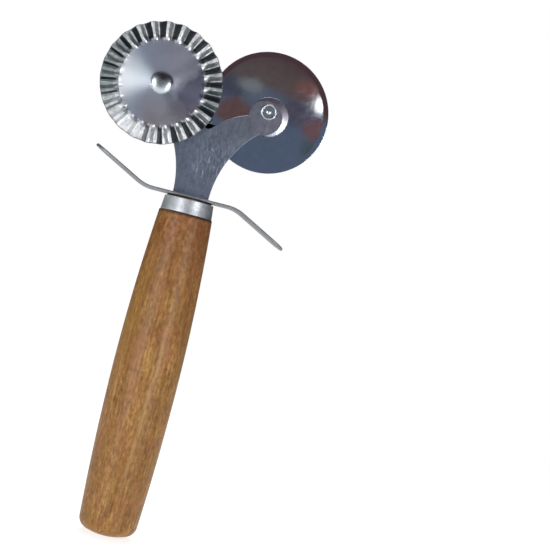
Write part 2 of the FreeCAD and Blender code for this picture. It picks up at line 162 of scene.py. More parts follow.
def lathe(profile, place, segments, closed=True):
    """Revolve (radius, height) points; place maps local x, y, height to the frame."""
    bm = bmesh.new()
    rings = []
    for radius, height in profile:
        if radius < 1e-6:
            rings.append([bm.verts.new(place(0, 0, height))])
            continue
        ring = []
        for step in range(segments):
            angle = math.tau * step / segments
            ring.append(bm.verts.new(
                place(radius * math.cos(angle), radius * math.sin(angle), height)))
        rings.append(ring)
    pairs = list(zip(rings, rings[1:]))
    if closed:
        pairs.append((rings[-1], rings[0]))
    for first, second in pairs:
        if len(first) > 1 and len(second) > 1:
            bridge(bm, (first, second))
            continue
        for step in range(segments):
            after = (step + 1) % segments
            if len(first) == 1:
                bm.faces.new((first[0], second[step], second[after]))
            else:
                bm.faces.new((first[step], second[0], first[after]))
    return bm


def upright(x, y, height):
    """Local height runs up the handle."""
    return Vector((x, y, height))


def on_hub(hub, side):
    """Local height runs away from the plate: side -1 to the front, +1 to the back."""
    def place(x, y, height):
        return Vector((hub.x + x, side * height, hub.z + y))
    return place


# ---------------------------------------------------------------- node helpers
class NodeTree:
    """Adds nodes to a tree. A value is a number, a vector or a socket to link from."""

    def __init__(self, tree):
        self.tree = tree

    def put(self, socket, value):
        if isinstance(value, bpy.types.NodeSocket):
            self.tree.links.new(value, socket)
        else:
            socket.default_value = value

    def node(self, kind, **inputs):
        made = self.tree.nodes.new("ShaderNode" + kind)
        for key, value in inputs.items():
            self.put(made.inputs[key.replace("_", " ")], value)
        return made

    def noise(self, vector, scale=1.0, detail=4.0, roughness=0.55, distortion=0.0):
        return self.node("TexNoise", Vector=vector, Scale=scale, Detail=detail,
                         Roughness=roughness, Distortion=distortion).outputs["Fac"]

    def ramp(self, value, stops):
        made = self.node("ValToRGB", Fac=value)
        elements = made.color_ramp.elements
        while len(elements) < len(stops):
            elements.new(0.5)
        for element, (position, colour) in zip(elements, stops):
            element.position = position
            element.color = (*colour, 1)
        return made.outputs["Color"]

    def span(self, value, low, high, to_low=0.0, to_high=1.0, smooth=False):
        """Map low..high to to_low..to_high and hold the ends; high may be under low."""
        made = self.node("MapRange", Value=value, From_Min=low, From_Max=high,
                         To_Min=to_low, To_Max=to_high)
        if smooth:
            made.interpolation_type = "SMOOTHSTEP"
        return made.outputs["Result"]

    def math(self, operation, *values):
        made = self.node("Math")
        made.operation = operation
        for socket, value in zip(made.inputs, values):
            self.put(socket, value)
        return made.outputs[0]

    def times(self, product, *others):
        for other in others:
            product = self.math("MULTIPLY", product, other)
        return product

    def plus(self, total, *others):
        for other in others:
            total = self.math("ADD", total, other)
        return total

    def minus(self, first, second):
        return self.math("SUBTRACT", first, second)

    def distance(self, vector, point=(0, 0, 0)):
        made = self.node("VectorMath")
        made.operation = "DISTANCE"
        self.put(made.inputs[0], vector)
        self.put(made.inputs[1], point)
        return made.outputs["Value"]

    def mix(self, share, first, second, blend="MIX"):
        """Mix two colours, each a socket or (red, green, blue)."""
        made = self.node("Mix")
        made.data_type = "RGBA"
        made.blend_type = blend
        self.put(made.inputs[0], share)
        # the Mix node repeats its names for every type, so its colours go by number
        for socket, colour in ((made.inputs[6], first), (made.inputs[7], second)):
            plain = isinstance(colour, tuple)
            self.put(socket, (*colour, 1) if plain else colour)
        return made.outputs[2]

    def paint(self, colour, *layers):
        """Lay colours over one another; each layer is (share, colour)."""
        for share, layer in layers:
            colour = self.mix(share, colour, layer)
        return colour


class Shader(NodeTree):
    """A new material with coordinates in metres, from a wheel's hub or the frame's origin."""

    def __init__(self, name, metallic=1.0):
        self.material = bpy.data.materials.new(name)
        self.material.use_nodes = True
        super().__init__(self.material.node_tree)
        self.main = self.tree.nodes["Principled BSDF"]
        self.place = self.node("TexCoord").outputs["Object"]
        self.set(Metallic=metallic)

    def set(self, **values):
        for key, value in values.items():
            self.put(self.main.inputs[key.replace("_", " ")], value)

    def colour(self):
        """The socket that feeds the base colour so far."""
        return self.main.inputs["Base Color"].links[0].from_socket

    def axes(self):
        apart = self.node("SeparateXYZ", Vector=self.place)
        return apart.outputs["X"], apart.outputs["Y"], apart.outputs["Z"]

    def stretched(self, scale, turn=(0, 0, 0), shift=(0, 0, 0)):
        """Scaled coordinates: a pattern is long in the direction where scale is small."""
        return self.node("Mapping", Vector=self.place, Scale=scale, Rotation=turn,
                         Location=shift).outputs["Vector"]

    def even(self, scale, shift=(0, 0, 0)):
        """Coordinates scaled alike in every direction."""
        return self.stretched((scale, scale, scale), shift=shift)

    def bump(self, height, strength, distance, normal=None):
        made = self.node("Bump", Height=height, Strength=strength, Distance=distance)
        if normal is not None:
            self.put(made.inputs["Normal"], normal)
        return made.outputs["Normal"]


# ---------------------------------------------------------------- materials
def make_wood():
    """Oiled brown wood, finely streaked and mottled, redder and darker towards the top."""
    s = Shader("oiled_wood", metallic=0.0)
    s.set(IOR=1.46, Specular_IOR_Level=0.42)
    x, y, height = s.axes()
    streak = s.noise(s.stretched((950, 950, 85), turn=(0.02, 0.05, 0)), detail=6,
                     roughness=0.68, distortion=0.3)
    mottle = s.noise(s.stretched((1000, 1000, 480), turn=(0.02, 0.04, 0)), detail=3,
                     roughness=0.6)
    rings = s.noise(s.stretched((150, 420, 8), turn=(0, 0.06, 0.5)), detail=2, distortion=0.8)
    fine = s.noise(s.stretched((1900, 1900, 110), turn=(0.03, 0.02, 0)), detail=3)
    blotch = s.noise(s.stretched((95, 95, 60), shift=(3.1, 1.2, 0.4)), roughness=0.6,
                     distortion=0.7)
    broad = s.noise(s.stretched((40, 40, 14), shift=(0.4, 2.0, 1.7)), detail=2)
    hue = s.noise(s.stretched((210, 210, 75), shift=(1.7, 0.9, 2.3)), roughness=0.65,
                  distortion=0.5)
    flecks = s.noise(s.stretched((620, 620, 430), shift=(0.6, 0.2, 0.9)), detail=3,
                     roughness=0.65)
    high = s.span(height, 0.085, 0.125)
    top = s.span(height, 0.100, 0.122)
    right = s.span(x, 0.0, 0.009)

    # a painted highlight: a pale line that wanders up the front, from near the butt to about 90
    # mm
    wander = s.times(s.noise(s.even(60), detail=2), 0.0030)
    highlight_middle = s.minus(s.span(height, 0.015, 0.090, 0.0022, 0.0056), wander)
    from_highlight = s.math("ABSOLUTE", s.minus(x, highlight_middle))
    painted_highlight = s.times(s.span(from_highlight, 0.0011, 0.0001, 0.0, 0.36), s.span(height, 0.012, 0.030),
                   s.span(height, 0.098, 0.080), s.span(y, -0.004, -0.008))

    # a red streak of resin, high on the right of the front
    across = s.math("DIVIDE", s.minus(x, 0.0064), 0.0016)
    along = s.math("DIVIDE", s.minus(height, 0.1235), 0.0042)
    from_resin = s.plus(s.times(across, across), s.times(along, along), s.times(flecks, 1.5))
    resin = s.times(s.span(from_resin, 2.0, 0.9, 0.0, 0.50), s.span(y, 0.0, -0.002))

    # a dark line under the ferrule's lower edge, fainter on the left, painted shadow in the gap
    # between ferrule and guard, and darker round the butt
    uneven = s.plus(height, s.times(blotch, 0.0018))
    seam = s.times(s.span(uneven, 0.1281, 0.1289, 0.0, 0.9), s.span(height, 0.1290, 0.1289),
                   s.span(x, -0.009, 0.004, 0.60, 1.0))
    gap = s.span(height, 0.1338, 0.1341, 0.0, 0.95)
    butt = s.span(uneven, 0.0016, 0.0004, 0.0, 0.45)
    painted_shadow_and_dark_lines = s.math("MAXIMUM", s.math("MAXIMUM", seam, gap), butt)

    grain = s.plus(s.times(streak, 0.40), s.times(rings, 0.20), s.times(mottle, 0.40))
    figure = s.ramp(grain, [
        (0.40, (0.140, 0.052, 0.008)), (0.465, (0.240, 0.104, 0.019)),
        (0.53, (0.330, 0.160, 0.035)), (0.60, (0.470, 0.262, 0.084))])
    s.set(Base_Color=s.paint(
        figure,
        # brown, golden, pinkish and olive areas
        (s.span(blotch, 0.40, 0.66, 0.0, 0.5), (0.185, 0.072, 0.012)),
        (s.span(broad, 0.5, 0.72, 0.0, 0.4), (0.370, 0.190, 0.038)),
        (s.span(hue, 0.52, 0.68, 0.0, 0.45), (0.390, 0.155, 0.062)),
        (s.span(hue, 0.47, 0.34, 0.0, 0.40), (0.300, 0.185, 0.036)),
        # the top: red on the right, dark and light flecks
        (s.times(high, right, 0.5), (0.190, 0.062, 0.020)),
        (s.times(top, s.span(flecks, 0.49, 0.60, 0.0, 0.85)), (0.210, 0.055, 0.016)),
        (s.times(top, s.span(flecks, 0.47, 0.38, 0.0, 0.6)), (0.410, 0.200, 0.075)),
        # painted highlight up the front
        (painted_highlight, (0.520, 0.320, 0.140)),
        # darker towards the top
        (s.times(high, 0.32), (0.120, 0.036, 0.006)),
        (resin, (0.170, 0.036, 0.006)),
        # pores
        (s.span(fine, 0.32, 0.44, 0.5, 0.0), (0.120, 0.050, 0.016)),
        # painted shadow in the gap under the guard, with the dark line under the ferrule and the
        # darker butt
        (painted_shadow_and_dark_lines, (0.014, 0.010, 0.009))))
    s.set(Roughness=s.span(streak, 0.3, 0.7, 0.40, 0.54))
    s.set(Normal=s.bump(s.plus(s.times(fine, 0.6), streak), 0.35, 0.00010))
    return s.material


def brushed_steel(name, colour, smooth, rough, scale, strength, cloud=0.16, mark=0.35):
    """Brushed metal with a roughness from smooth to rough.

    cloud is how much darker its clouds are, and mark how strong its pale scratches are.
    """
    s = Shader(name)
    scratch = s.noise(s.stretched(scale), roughness=0.7)
    clouds = s.noise(s.even(90), detail=3)
    dark = tuple(part * (1 - cloud) for part in colour)
    pale = tuple(min(1, part * 1.5) for part in colour)
    tone = s.mix(s.span(clouds, 0.35, 0.65), dark, colour)
    s.set(Base_Color=s.mix(s.span(scratch, 0.60, 0.78, 0, mark), tone, pale))
    s.set(Roughness=s.span(scratch, 0.25, 0.75, smooth, rough))
    s.set(Normal=s.bump(scratch, strength, 0.00004))
    return s


def make_plate_steel():
    """Slate-grey plate: fine lengthwise brushing, short pale scratches on the stem."""
    s = Shader("brushed_plate_steel")
    x, _, height = s.axes()
    brushed = s.noise(s.stretched((1500, 1500, 60), turn=(0, 0.03, 0)), roughness=0.7)
    clouds = s.noise(s.stretched((120, 120, 90)), roughness=0.6)
    speck = s.noise(s.even(900), detail=2)
    dashes = s.noise(s.stretched((2300, 2300, 330), turn=(0, 0.06, 0), shift=(0.2, 0, 0.1)),
                     roughness=0.8)
    grain = s.noise(s.stretched((700, 700, 520), shift=(0.1, 0, 0.4)), roughness=0.75)
    arms = s.times(s.span(height, 0.160, 0.170), s.span(clouds, 0.38, 0.62, 0.15, 0.75))
    from_lobe = s.distance(s.place, (LOBE.x * MM, 0, LOBE.y * MM))
    stem = s.times(s.span(height, 0.139, 0.146), s.span(height, 0.168, 0.156),
                   s.span(x, -0.005, 0.0))
    scratched = s.times(s.span(dashes, 0.53, 0.67, 0.0, 0.48), stem)
    tone = s.paint(
        s.mix(s.span(clouds, 0.32, 0.68), (0.27, 0.32, 0.385), (0.35, 0.40, 0.47)),
        (arms, (0.37, 0.345, 0.38)),
        # painted highlight: a paler ring round the edge of the right lobe
        (s.span(from_lobe, 0.0078, 0.0066, 0.0, 0.30), (0.50, 0.50, 0.56)),
        (scratched, (0.85, 0.86, 0.88)))
    uneven = s.ramp(grain, [(0.36, (0.85, 0.85, 0.86)), (0.64, (1.13, 1.13, 1.12))])
    tone = s.mix(1.0, tone, uneven, "MULTIPLY")
    s.set(Base_Color=s.mix(s.span(speck, 0.60, 0.75, 0.0, 0.12), tone, (0.20, 0.20, 0.23)))
    s.set(Roughness=s.plus(s.span(brushed, 0.25, 0.75, 0.26, 0.33), s.times(scratched, 0.25)))
    s.set(Normal=s.bump(brushed, 0.05, 0.00003))
    return s.material


def make_ferrule_metal():
    """Dull, blotchy aluminium, with a painted highlight along its left edge and painted shade on
    the right.
    """
    s = brushed_steel("satin_aluminium", (0.64, 0.67, 0.70), 0.38, 0.56, (420, 420, 420), 0.6,
                      cloud=0.42)
    x, _, _ = s.axes()
    blotch = s.noise(s.stretched((360, 360, 420), shift=(0.2, 0.5, 0.3)), detail=5,
                     roughness=0.72)
    s.set(Base_Color=s.paint(
        s.colour(),
        (s.span(blotch, 0.50, 0.62, 0.0, 0.55), (0.34, 0.36, 0.38)),
        # painted highlight along the left edge
        (s.span(x, -0.0045, -0.0075, 0.0, 0.75), (0.92, 0.98, 0.98)),
        # painted shade on the right side
        (s.span(x, 0.0055, 0.0090, 0.0, 0.6), (0.22, 0.23, 0.25))))
    return s.material


def make_rivet_steel():
    """Polished steel: a painted dark reflection on the upper cap of the front dome, painted shade
    in the valley of the rolled ends.
    """
    s = brushed_steel("polished_rivet_steel", (0.62, 0.68, 0.69), 0.24, 0.34, (300, 300, 300),
                      0.15, cloud=0.3)
    x, y, height = s.axes()
    lean = 0.25
    blot = s.noise(s.even(420, shift=(0.3, 0, 0.1)), detail=2)
    leaning = s.plus(height, s.times(x, lean), s.times(s.minus(blot, 0.5), 0.004))
    middle = (FLUTED_HUB.z + lean * FLUTED_HUB.x) * MM
    # painted dark reflection over the upper cap of the front dome
    dark_reflection_cap = s.times(s.span(leaning, middle + 0.0008, middle + 0.0024, 0.0, 0.85),
                  s.span(y, -0.002, -0.0035))
    across = s.minus(s.math("ABSOLUTE", x), PLAIN_HUB.x * MM)
    upward = s.minus(height, PLAIN_HUB.z * MM)
    from_hub = s.math("SQRT", s.plus(s.times(across, across), s.times(upward, upward)))
    # the right rivet is rolled at the front and the left one at the back
    rolled_end = s.math("LESS_THAN", s.times(x, y), 0.0)
    # painted shade in the hollow round the ball of each rolled end
    valley_shade = s.times(s.span(from_hub, 0.0011, 0.0013), s.span(from_hub, 0.0025, 0.0022),
                     rolled_end, 0.85)
    s.set(Base_Color=s.paint(s.colour(), (dark_reflection_cap, (0.10, 0.11, 0.13)), (valley_shade, (0.06, 0.06, 0.07))))
    return s.material


def wheel_axes(s):
    """East, north and distance from the hub, on the fluted wheel."""
    east, _, north = s.axes()
    flat = s.node("CombineXYZ", X=east, Y=north).outputs["Vector"]
    return east, north, s.distance(flat)


def make_disc_steel():
    """Satin middle of the fluted wheel, with faint turning marks, a cloudy tint and painted light
    and shade.
    """
    s = Shader("fluted_disc_steel")
    s.set(Anisotropic=0.82, Anisotropic_Rotation=0.25)
    east, north, radial = wheel_axes(s)
    turned = s.noise(s.node("CombineXYZ", X=s.times(radial, 5200)).outputs["Vector"],
                     detail=3, roughness=0.7)
    clouds = s.noise(s.even(110), roughness=0.6)
    tint = s.noise(s.even(60, shift=(0.5, 0.2, 0.1)), detail=2)
    uneven = s.plus(east, s.times(s.minus(clouds, 0.5), 0.012))
    aside = s.times(s.math("ABSOLUTE", s.plus(north, 0.002)), 0.7)
    stain = s.times(s.span(north, -0.004, -0.012), s.span(clouds, 0.42, 0.60, 0.2, 0.75),
                    s.span(east, -0.008, 0.000))
    s.set(Base_Color=s.paint(
        s.mix(s.span(clouds, 0.3, 0.7), (0.68, 0.73, 0.80), (0.86, 0.90, 0.97)),
        (s.span(tint, 0.5, 0.7, 0.0, 0.4), (0.60, 0.55, 0.56)),
        # painted light: a cool, lighter left half with a painted highlight wedge in it, and a
        # painted shade wedge on the right
        (s.span(uneven, 0.001, -0.010, 0.0, 0.75), (0.66, 0.84, 0.96)),
        (s.span(s.plus(uneven, aside), 0.001, -0.011, 0.0, 0.95), (0.93, 0.99, 1.0)),
        (s.span(s.minus(uneven, aside), -0.002, 0.008, 0.0, 0.95), (0.10, 0.10, 0.15)),
        # brownish stain low on the right
        (stain, (0.50, 0.43, 0.39))))
    s.set(Roughness=s.span(turned, 0.3, 0.7, 0.28, 0.31))
    s.set(Normal=s.bump(turned, 0.02, 0.00002))
    tangent = s.node("Tangent")
    tangent.direction_type = "RADIAL"
    tangent.axis = "Y"
    s.set(Tangent=tangent.outputs["Tangent"])
    return s.material


def make_flute_steel():
    """Pressed flutes: gritty panels with painted light and shade, one flank to each flute painted
    as a dark reflection, a darker outer edge.
    """
    s = Shader("fluted_rim_steel")
    east, north, radial = wheel_axes(s)
    grit = s.noise(s.even(900), detail=3, roughness=0.7)
    lumpy = s.noise(s.even(170, shift=(0.7, 0.1, 0.2)), detail=2)
    # phase runs from 0 to 1 over each flute, from one front ridge to the next
    turn = s.math("DIVIDE", s.math("ARCTAN2", north, east), math.tau / FLUTES)
    phase = s.math("FRACT", s.plus(turn, FLUTES - 0.5))

    # panels with painted light: brighter at the top and bottom of the wheel, with a little
    # painted shade on the left
    tall = s.span(s.math("ABSOLUTE", north), 0.006, 0.018, 0.0, 0.75)
    shade = s.times(s.span(east, -0.004, -0.013, 0.0, 0.30), s.span(north, -0.012, -0.004))
    bright = s.minus(s.plus(tall, s.span(lumpy, 0.40, 0.60, -0.15, 0.30),
                            s.span(grit, 0.35, 0.65, -0.16, 0.16)), shade)
    land = s.mix(bright, (0.33, 0.375, 0.375), (0.98, 0.99, 1.0))
    slope = s.mix(bright, (0.30, 0.34, 0.34), (0.98, 0.99, 1.0))
    # painted shade: the flank that faces the light is a little darker than the land
    lit = s.times(s.span(phase, 0.58, 0.65), s.span(phase, 0.91, 0.84))

    # inner ends of the flutes: painted shade on the slope and a painted highlight on one corner
    # of each flute
    inner = s.span(radial, FLUTE_START * MM, 0.0186, 1.0, 0.0)
    corner = s.times(s.span(phase, 0.72, 0.80),
                     s.span(s.plus(phase, s.times(inner, 0.12)), 1.0, 0.93))

    # one flank of each flute painted dark, a painted dark reflection: wider towards the top
    # right, thinner and fainter at the lower left
    shifted = s.plus(phase, s.times(s.minus(lumpy, 0.5), 0.08))
    toward = s.plus(s.math("MAXIMUM", north, 0.0), east)
    wide = s.span(toward, -0.015, 0.012, -0.13, 0.17)
    fading_low_left = s.times(s.span(north, -0.007, -0.016, 0.0, 0.45), s.span(east, 0.001, -0.007))
    painted_dark_flank = s.times(s.span(shifted, 0.08, 0.12), s.span(s.minus(shifted, wide), 0.41, 0.37),
                    s.span(radial, 0.0168, 0.0178, 0.35, 1.0), s.minus(1.0, fading_low_left), 0.97)
    s.set(Base_Color=s.paint(
        s.mix(lit, land, slope),
        (s.times(inner, 0.8), (0.24, 0.23, 0.27)),
        (s.times(corner, inner, 2.0), (1.0, 1.0, 1.0)),
        # painted dark reflection on one flank
        (painted_dark_flank, (0.022, 0.028, 0.034)),
        # darker outer edge
        (s.span(radial, 0.0233, 0.0237, 0.0, 0.75), (0.16, 0.17, 0.18))))
    s.set(Roughness=s.span(grit, 0.3, 0.7, 0.40, 0.54))
    s.set(Normal=s.bump(grit, 0.3, 0.00006))
    return s.material


def make_mirror():
    """Mirror-polished sheet: almost flat, with the slow ripple of rolled sheet."""
    s = Shader("mirror_steel")
    ripple = s.noise(s.even(28, shift=(0.3, 0, 0.8)), detail=1)
    haze = s.noise(s.even(240), detail=5, roughness=0.7)
    scratch = s.noise(s.stretched((900, 900, 40), turn=(0, 0.5, 0)), detail=3)
    s.set(Base_Color=s.mix(s.span(haze, 0.3, 0.7), (0.52, 0.53, 0.56), (0.60, 0.61, 0.64)))
    s.set(Roughness=s.span(haze, 0.3, 0.75, 0.02, 0.05))
    slow = s.bump(ripple, 0.12, 0.00022)
    s.set(Normal=s.bump(scratch, 0.04, 0.00002, slow))
    return s.material


WOOD = make_wood()
PLATE_STEEL = make_plate_steel()
GUARD_STEEL = brushed_steel("satin_guard_steel", (0.29, 0.30, 0.315), 0.48, 0.58,
                            (60, 600, 600), 0.1, mark=0.15).material
FERRULE = make_ferrule_metal()
RIVET = make_rivet_steel()
SPACER = brushed_steel("turned_spacer_steel", (0.45, 0.45, 0.46), 0.28, 0.42,
                       (300, 2400, 300), 0.2).material
MIRROR = make_mirror()
DISC = make_disc_steel()
FLUTE = make_flute_steel()


# ---------------------------------------------------------------- handle
def handle_radius(z):
    """Two long curves that meet at the belly."""
    curve = LOWER_CURVE if z < BELLY_HEIGHT else UPPER_CURVE
    return BELLY_RADIUS - curve + math.sqrt(curve * curve - (z - BELLY_HEIGHT) ** 2)


def make_handle():
    """A crowned butt with a small flat, a rounded corner, the long sides and the spigot."""
    top = FERRULE_LOW.z
    # the corner's arc ends against the side at about this height
    corner_top = 5.6
    arc_steps, side_steps = 12, 90
    crown_z = math.sqrt(BUTT_CROWN ** 2 - BUTT_FLAT ** 2)
    flat_angle = math.asin(BUTT_FLAT / BUTT_CROWN)
    centre_x = handle_radius(corner_top) - BUTT_CORNER
    centre_z = crown_z - math.sqrt((BUTT_CROWN - BUTT_CORNER) ** 2 - centre_x ** 2)
    lean = math.atan2(centre_x, crown_z - centre_z)
    profile = [(0, 0), (BUTT_FLAT, 0)]
    for step in range(1, arc_steps + 1):
        angle = flat_angle + (lean - flat_angle) * step / arc_steps
        profile.append((BUTT_CROWN * math.sin(angle), crown_z - BUTT_CROWN * math.cos(angle)))
    for step in range(1, arc_steps + 1):
        angle = lean + (math.pi / 2 - lean) * step / arc_steps
        profile.append((centre_x + BUTT_CORNER * math.sin(angle),
                        centre_z - BUTT_CORNER * math.cos(angle)))
    for step in range(1, side_steps + 1):
        z = centre_z + (top - 0.5 - centre_z) * step / side_steps
        profile.append((handle_radius(z), z))
    # the worn upper edge, then the spigot
    edge = handle_radius(top)
    profile += [(edge - 0.06, top - 0.2), (edge - 0.25, top - 0.03), (edge - 0.6, top)]
    profile += [(SPIGOT_RADIUS, top), (SPIGOT_RADIUS, SPIGOT_TOP - 0.3),
                (SPIGOT_RADIUS - 0.3, SPIGOT_TOP), (0, SPIGOT_TOP)]
    bm = lathe(profile, upright, segments=160, closed=False)
    finish_mesh(bm, "turned_handle", WOOD, "tool", sharp=50, replaces=["handle"])


# ---------------------------------------------------------------- ferrule
def make_ferrule():
    """A slightly conical ring, rounded most at its upper outer edge."""
    low, high = FERRULE_LOW.z, FERRULE_HIGH.z
    bore, wide, narrow = SPIGOT_RADIUS, FERRULE_HIGH.x, FERRULE_HIGH.x - 0.5
    end_band, corner = 0.9, 0.12
    points = [(bore, low), (wide, low, corner), (wide - 0.08, low + end_band, 0.0),
              (narrow + 0.06, high - end_band, 0.0), (narrow, high, 0.4),
              (bore + 0.3, high, 0.15), (bore, high - 0.3)]
    bm = lathe(rounded(points, corner), upright, segments=160)
    finish_mesh(bm, "conical_ferrule", FERRULE, "tool", sharp=60,
                replaces=["ferrule"])


# ---------------------------------------------------------------- guard
def guard_path():
    """Centre line of the strip as (x, z, direction), with soft bends."""
    level = SPIGOT_TOP + GUARD_THICK / 2
    bend_steps, arm_steps = 12, 24
    cut = GUARD_BEND * math.tan(GUARD_SLOPE / 2)
    bend_x = GUARD_HALF_FLAT - cut
    arm = (GUARD_REACH - GUARD_HALF_FLAT) / math.cos(GUARD_SLOPE) - cut
    side = [(x, 0.0, 0.0) for x in (0.0, 4.0, 8.0, 12.0, bend_x)]
    for step in range(1, bend_steps + 1):
        angle = GUARD_SLOPE * step / bend_steps
        side.append((bend_x + GUARD_BEND * math.sin(angle),
                     GUARD_BEND * (1 - math.cos(angle)), angle))
    start_x, start_z, _ = side[-1]
    for step in range(1, arm_steps + 1):
        along = arm * step / arm_steps
        side.append((start_x + along * math.cos(GUARD_SLOPE),
                     start_z + along * math.sin(GUARD_SLOPE), GUARD_SLOPE))
    left = [(-x, level + z, -angle) for x, z, angle in reversed(side[1:])]
    return left + [(x, level - z, -angle) for x, z, angle in side]


def make_guard():
    """The strip's cross-section swept along its path, narrowing to round tips."""
    path = guard_path()
    lengths = [0.0]
    for first, second in zip(path, path[1:]):
        lengths.append(lengths[-1] + math.dist(first[:2], second[:2]))
    total = lengths[-1]
    half_thick, soft = GUARD_THICK / 2, 0.16
    bm = bmesh.new()
    rings = []
    for (x, z, angle), along in zip(path, lengths):
        from_end = min(along, total - along)
        width = GUARD_HALF_WIDTH
        if from_end < GUARD_TIP:
            inward = math.sqrt(max(0.0, GUARD_TIP ** 2 - (GUARD_TIP - from_end) ** 2))
            width = GUARD_HALF_WIDTH - GUARD_TIP + inward
        normal = Vector((-math.sin(angle), 0, math.cos(angle)))
        centre = Vector((x, 0, z))
        section = [(-width, -half_thick + soft), (-width + soft, -half_thick)]
        section += [(width * t, -half_thick) for t in (-0.5, 0.0, 0.5)]
        section += [(width - soft, -half_thick), (width, -half_thick + soft),
                    (width, half_thick - soft), (width - soft, half_thick)]
        section += [(width * t, half_thick) for t in (0.5, 0.0, -0.5)]
        section += [(-width + soft, half_thick), (-width, half_thick - soft)]
        rings.append([bm.verts.new(centre + Vector((0, side, 0)) + normal * up)
                      for side, up in section])
    bridge(bm, rings)
    bm.faces.new(rings[0])
    bm.faces.new(rings[-1])
    finish_mesh(bm, "bent_guard", GUARD_STEEL, "tool", sharp=50,
                replaces=["guard"])


# ---------------------------------------------------------------- fork plate
def arc_points(centre, radius, start, end, count):
    """Points on an arc from one angle to another."""
    points = []
    for step in range(count + 1):
        angle = start + (end - start) * step / count
        points.append(Vector((centre.x + radius * math.cos(angle),
                              centre.y + radius * math.sin(angle))))
    return points


def circles_meet(first, first_radius, second, second_radius):
    """The left one of the two points where two circles cross."""
    gap = second - first
    along = (first_radius ** 2 - second_radius ** 2 + gap.length_squared) / (2 * gap.length)
    side = math.sqrt(first_radius ** 2 - along ** 2)
    ahead = gap.normalized()
    across = Vector((-ahead.y, ahead.x))
    return min(first + ahead * along + across * side, first + ahead * along - across * side,
               key=lambda point: point.x)


def crescent(t):
    """Share of the bevel along the lobe: none at both ends, most on the outer side."""
    start, length = 0.06, 0.80
    part = min(1.0, max(0.0, (t - start) / length))
    return max(0.0, math.sin(math.pi * part)) ** 0.8


def fork_outline():
    """Right half of the plate's edge, from the guard up to the crotch.

    Each entry is (point, inward direction, share of the lobe's bevel).
    """
    low_centre = Vector((STEM_HALF + ARM_LOWER_CURVE, GUARD_TOP))
    up_centre = ARM_UPPER_CENTRE
    low_end = circles_meet(low_centre, ARM_LOWER_CURVE, LOBE, LOBE_RADIUS)
    up_end = circles_meet(up_centre, ARM_UPPER_CURVE, LOBE, LOBE_RADIUS)
    crotch_gap = math.sqrt((ARM_UPPER_CURVE + CROTCH_ROUND) ** 2 - up_centre.x ** 2)
    crotch_centre = Vector((0.0, up_centre.y + crotch_gap))

    def angle(point, centre):
        return math.atan2(point.y - centre.y, point.x - centre.x)

    def entries(centre, points, inward, share=lambda t: 0.0):
        last = len(points) - 1
        return [(p, (p - centre).normalized() * inward, share(index / last))
                for index, p in enumerate(points)]

    start, end = angle(low_end, LOBE), angle(up_end, LOBE)
    end += math.tau if end < start else 0
    low_arc = arc_points(low_centre, ARM_LOWER_CURVE, math.pi, angle(low_end, low_centre), 40)
    lobe_arc = arc_points(LOBE, LOBE_RADIUS, start, end, 110)
    up_arc = arc_points(up_centre, ARM_UPPER_CURVE, angle(up_end, up_centre),
                        angle(crotch_centre, up_centre), 30)
    notch_arc = arc_points(crotch_centre, CROTCH_ROUND, angle(up_centre, crotch_centre),
                           -math.pi / 2, 24)
    return (entries(low_centre, low_arc, 1) + entries(LOBE, lobe_arc, -1, crescent)[1:]
            + entries(up_centre, up_arc, -1)[1:] + entries(crotch_centre, notch_arc, 1)[1:])


def make_plate():
    """The whole outline with soft edges; the right lobe is bevelled in front, the left behind."""
    half, soft, step_in = PLATE_HIGH.y, 0.13, 0.08
    low = PLATE_LOW.z
    across, up = Vector((1, 0)), Vector((0, 1))
    # a share is positive where the bevel is in front and negative where it is behind
    right = fork_outline()
    left = [(Vector((-p.x, p.y)), Vector((-n.x, n.y)), -share)
            for p, n, share in reversed(right[:-1])]
    tang = [(-TANG_HALF, GUARD_TOP, across), (-TANG_HALF, low + TANG_CORNER, across),
            (-TANG_HALF + TANG_CORNER, low, up), (TANG_HALF - TANG_CORNER, low, up),
            (TANG_HALF, low + TANG_CORNER, -across), (TANG_HALF, GUARD_TOP, -across)]
    outline = right + left + [(Vector((x, z)), n, 0.0) for x, z, n in tang]
    bm = bmesh.new()

    def loop(inset, level):
        """One ring of vertices; inset and level are given the entry's bevel share."""
        return [bm.verts.new((p.x + n.x * inset(share), level(share), p.y + n.y * inset(share)))
                for p, n, share in outline]

    def front(share):
        return max(share, 0.0)

    def back(share):
        return max(-share, 0.0)

    rings = [
        loop(lambda t: soft + step_in + BEVEL_WIDTH * front(t), lambda t: -half),
        loop(lambda t: soft, lambda t: -half + BEVEL_DEPTH * front(t)),
        loop(lambda t: 0.0, lambda t: -half + soft + BEVEL_DEPTH * front(t)),
        loop(lambda t: 0.0, lambda t: half - soft - BEVEL_DEPTH * back(t)),
        loop(lambda t: soft, lambda t: half - BEVEL_DEPTH * back(t)),
        loop(lambda t: soft + step_in + BEVEL_WIDTH * back(t), lambda t: half)]
    bridge(bm, rings)
    caps = [bm.faces.new(rings[0]), bm.faces.new(rings[-1])]
    bmesh.ops.triangulate(bm, faces=caps)
    finish_mesh(bm, "fork_stamping", PLATE_STEEL, "tool", sharp=5,
                replaces=["fork_plate"])


# ---------------------------------------------------------------- fluted wheel
def flute_height(radius, angle):
    """Level of the sheet's middle: a trapezoid wave that fades out towards the hub."""
    if radius <= FLUTE_START:
        return 0.0
    pitch = math.tau * max(radius, FLUTE_FULL) / FLUTES
    phase = (angle * FLUTES / math.tau) % 1.0
    from_floor = min(phase, 1 - phase) * pitch
    half_floor = (pitch / 2 - FLUTE_FLANK) / 2
    wave = 1 - 2 * min(1.0, max(0.0, (from_floor - half_floor) / FLUTE_FLANK))
    fade = min(1.0, (radius - FLUTE_START) / (FLUTE_FULL - FLUTE_START))
    return FLUTE_DEPTH * fade * wave


